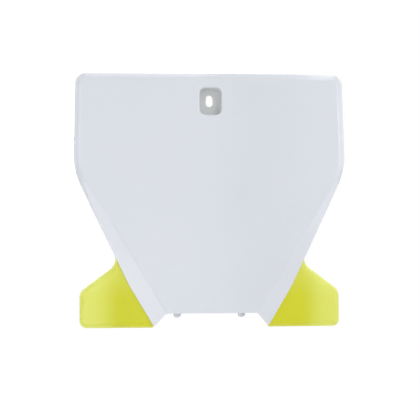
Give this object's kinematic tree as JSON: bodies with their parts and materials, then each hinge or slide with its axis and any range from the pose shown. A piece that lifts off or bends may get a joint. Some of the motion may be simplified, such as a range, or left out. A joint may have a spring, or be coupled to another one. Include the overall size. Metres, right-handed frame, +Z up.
{
  "type": "racing number board",
  "caption": "White moulded motorcycle number board with a rolled rim, folded lower corners, a recessed screw slot, locating pegs and yellow fork guard wings.",
  "frame": {"origin": "middle of the upright screw slot, on the flat seat behind it", "axes": "+X to the right of someone who looks at the face, +Y backwards into the motorcycle, +Z up"},
  "size_m": [0.2578, 0.03, 0.2404],
  "materials": {
    "white_plastic": "moulded gloss, slightly cool white",
    "yellow_plastic": "moulded gloss, bright greenish yellow"
  },
  "bodies": {
    "root": {"number_board": "white_plastic", "left_wing": "yellow_plastic", "right_wing": "yellow_plastic"}
  },
  "joints": []
}
